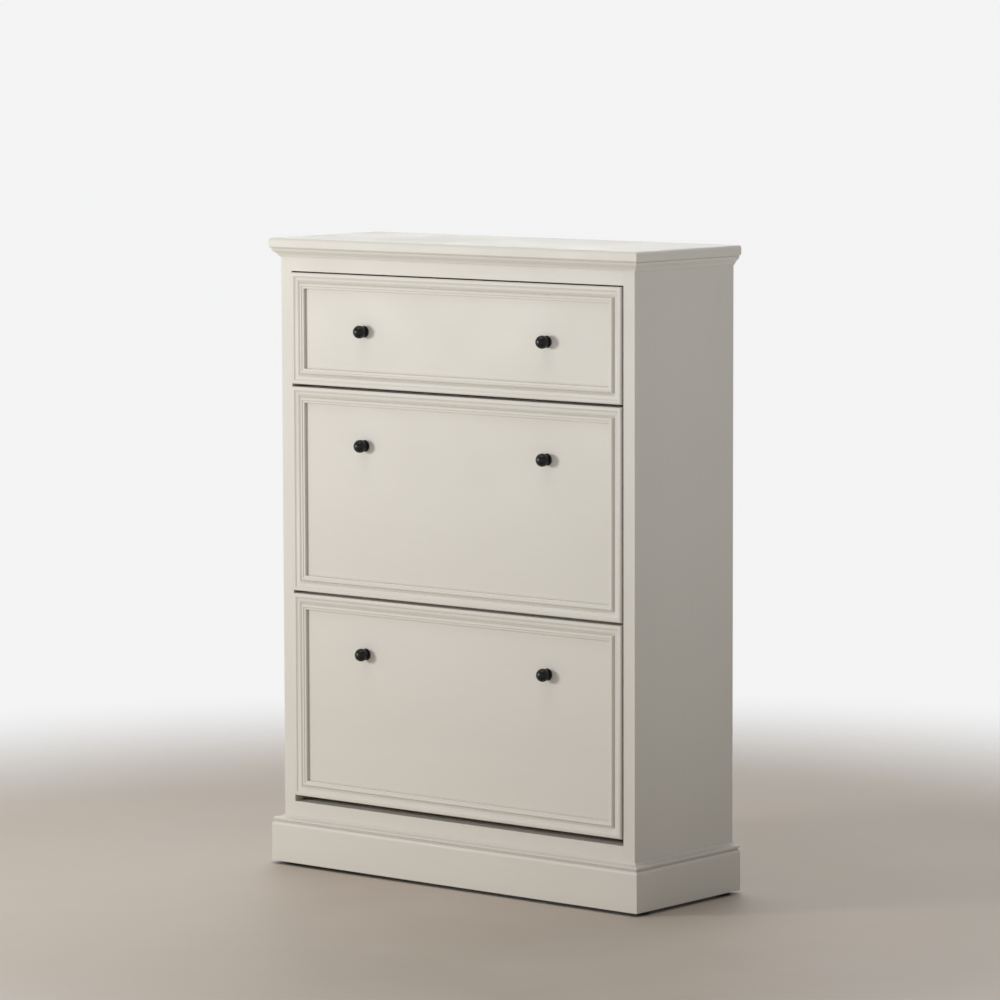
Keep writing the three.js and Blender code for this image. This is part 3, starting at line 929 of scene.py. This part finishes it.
def buildGlide(node):
    low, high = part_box(node)
    middle, top = (low + high) / 2, (high.z - low.z) / mm
    outer = (high.x - low.x) / 2 / mm
    foot = arc(outer - 1.4, 1.4, 1.4, -80, 10, 5)
    profile = [(outer - 2.2, 0), *foot, (outer - 1.0, top - 0.6), (outer - 1.5, top)]
    standIn(node, lathe(profile, Vector((middle.x, middle.y, low.z)), (0, 0, 1), 48), plasticLook)


def buildBracket():
    low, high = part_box("wall_bracket")
    piece = board("wall_bracket", zincLook, bracketShape["ease"])
    half = bracketShape["slotHalf"]
    slot = arc(0, bracketShape["slotHigh"], half, 0, 180, 12)
    slot += arc(0, bracketShape["slotLow"], half, 180, 360, 12)
    outline = [(x * mm, low.z + z * mm) for x, z in slot]
    cutHoles(piece, [extrude(outline, "y", low.y - mm, high.y + mm)])
    reach, screwZ = bracketShape["screwReach"] * mm, low.z + bracketShape["screwRise"] * mm
    radius, height = bracketShape["screwRadius"], bracketShape["screwHeight"]
    places = [Vector((side * reach, high.y, screwZ)) for side in (-1, 1)]
    heads = [screwHead(place, (0, 1, 0), radius, height) for place in places]
    finishPiece("wallBracketScrews", joinMeshes(heads), zincLook, "carcass")


def evenly(low, high, spacing):
    count = max(1, round((high - low) / spacing))
    return [low + (high - low) * k / count for k in range(count + 1)]


def buildBackPins():
    low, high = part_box("back_panel")
    edge, spacing = pinShape["edge"] * mm, pinShape["spacing"] * mm
    left, right, bottom, top = low.x + edge, high.x - edge, low.z + edge, high.z - edge
    places = [(x, z) for x in (left, right) for z in evenly(bottom, top, spacing)]
    places += [(x, z) for z in (bottom, top) for x in evenly(left, right, spacing)[1:-1]]
    radius, height = pinShape["radius"], pinShape["height"]
    profile = [(radius, 0), (radius, height * 0.5), (radius * 0.8, height * 0.85), (radius * 0.4, height)]
    heads = [lathe(profile, Vector((x, high.y, z)), (0, 1, 0), 20) for x, z in places]
    finishPiece("backPanelPins", joinMeshes(heads), zincLook, "carcass")


for hand in hands:
    for end in ("front", "rear"):
        buildGlide(f"glide_{end}_{hand}")
buildBracket()
buildBackPins()
print("fittings built")


floorLook = {
    "color": (0.445, 0.382, 0.318),
    "dryColor": (0.525, 0.456, 0.384),
    "shadeColor": (0.05, 0.043, 0.036),
    "shadeReach": 0.012,
    "fadeStart": 1.0,
    "fadeEnd": 2.3,
    "size": 6.0,
}


def makeFloorMaterial():
    material, tree, shader = startMaterial("floorScreed")
    place = addNode(tree, "TexCoord").outputs["Object"]
    coat = placeGroup(tree, sprayedCoat, {"Dimple Scale": 220.0, "Patch Scale": 2.2})
    clouds = fit(tree, coat["Patches"], 0.3, 0.7, 0.0, 1.0)
    base = mixColors(tree, clouds, (*floorLook["color"], 1.0), (*floorLook["dryColor"], 1.0))
    # painted shadow: the floor darkens close under and around the cabinet's foot
    paintedShade = placeGroup(tree, creviceShade, {"Reach": floorLook["shadeReach"]})["Mask"]
    feed(tree, shader["Base Color"], mixColors(tree, paintedShade, base, (*floorLook["shadeColor"], 1.0)))
    feed(tree, shader["Roughness"], fit(tree, coat["Patches"], 0.3, 0.7, 0.6, 0.75))
    bump = addNode(tree, "Bump", {"Strength": 0.3, "Distance": 0.0003, "Height": coat["Dimples"]})
    feed(tree, shader["Normal"], bump.outputs["Normal"])
    away = addNode(tree, "VectorMath", {0: place}, operation="LENGTH").outputs["Value"]
    span = {"From Min": floorLook["fadeStart"], "From Max": floorLook["fadeEnd"]}
    fade = addNode(
        tree, "MapRange", {"Value": away, **span, "To Min": 1.0, "To Max": 0.0},
        interpolation_type="SMOOTHSTEP")
    feed(tree, shader["Alpha"], fade.outputs["Result"])
    return material


def buildFloor():
    half = floorLook["size"] / 2
    bm = bmesh.new()
    bmesh.ops.create_grid(bm, x_segments=8, y_segments=8, size=half)
    mesh = bpy.data.meshes.new("floor")
    bm.to_mesh(mesh)
    bm.free()
    mesh.materials.append(makeFloorMaterial())
    floor = bpy.data.objects.new("floor", mesh)
    bpy.context.scene.collection.objects.link(floor)


buildFloor()


keyLight = {
    "direction": (-0.559, -0.778, 0.15), "distance": 3.4, "size": 0.75, "power": 54.0,
    "color": (1.0, 0.99, 0.975)}
topLight = {
    "direction": (0.0, -0.25, 1.0), "distance": 2.9, "size": 2.3, "power": 28.0, "color": (0.99, 0.99, 1.0)}
surround = {"ground": 0.762, "horizon": 0.682, "zenith": 0.0, "backdrop": 1.5, "seen": (0.90, 0.90, 0.905)}
backdropWay = (-0.64, 0.76, 0.10)
lightAim = Vector((0, 0, 0.55))


def addSoftbox(name, light):
    lamp = bpy.data.lights.new(name, "AREA")
    lamp.shape, lamp.size = "DISK", light["size"]
    lamp.energy, lamp.color = light["power"], light["color"]
    softbox = bpy.data.objects.new(name, lamp)
    bpy.context.scene.collection.objects.link(softbox)
    direction = Vector(light["direction"]).normalized()
    softbox.location = lightAim + direction * light["distance"]
    softbox.rotation_mode = "QUATERNION"
    softbox.rotation_quaternion = (-direction).to_track_quat("-Z", "Y")
    softbox.visible_camera = False


def makeSurround():
    world = bpy.data.worlds.new("studio")
    bpy.context.scene.world = world
    world.use_nodes = True
    tree = world.node_tree
    way = addNode(tree, "TexCoord").outputs["Generated"]
    rise = addNode(tree, "SeparateXYZ", {"Vector": way}).outputs["Z"]
    facing = addNode(tree, "VectorMath", {0: way, 1: backdropWay}, operation="DOT_PRODUCT").outputs["Value"]
    sky = fit(tree, rise, 0.0, 1.0, surround["horizon"], surround["zenith"])
    behind = calc(tree, "ADD", sky, fit(tree, facing, 0.45, 0.9, 0.0, surround["backdrop"]))
    belowHorizon = fit(tree, rise, -0.15, 0.0, surround["ground"] - surround["horizon"], 0.0)
    level = calc(tree, "ADD", behind, belowHorizon)
    soft = addNode(tree, "CombineColor", {"Red": level, "Green": level, "Blue": level}).outputs["Color"]
    seen = addNode(tree, "LightPath").outputs["Is Camera Ray"]
    finished = mixColors(tree, seen, soft, (*surround["seen"], 1.0))
    feed(tree, tree.nodes["Background"].inputs["Color"], finished)


addSoftbox("keyLight", keyLight)
addSoftbox("topLight", topLight)
makeSurround()
bpy.context.scene.view_settings.view_transform = "Standard"
print("floor and light set")
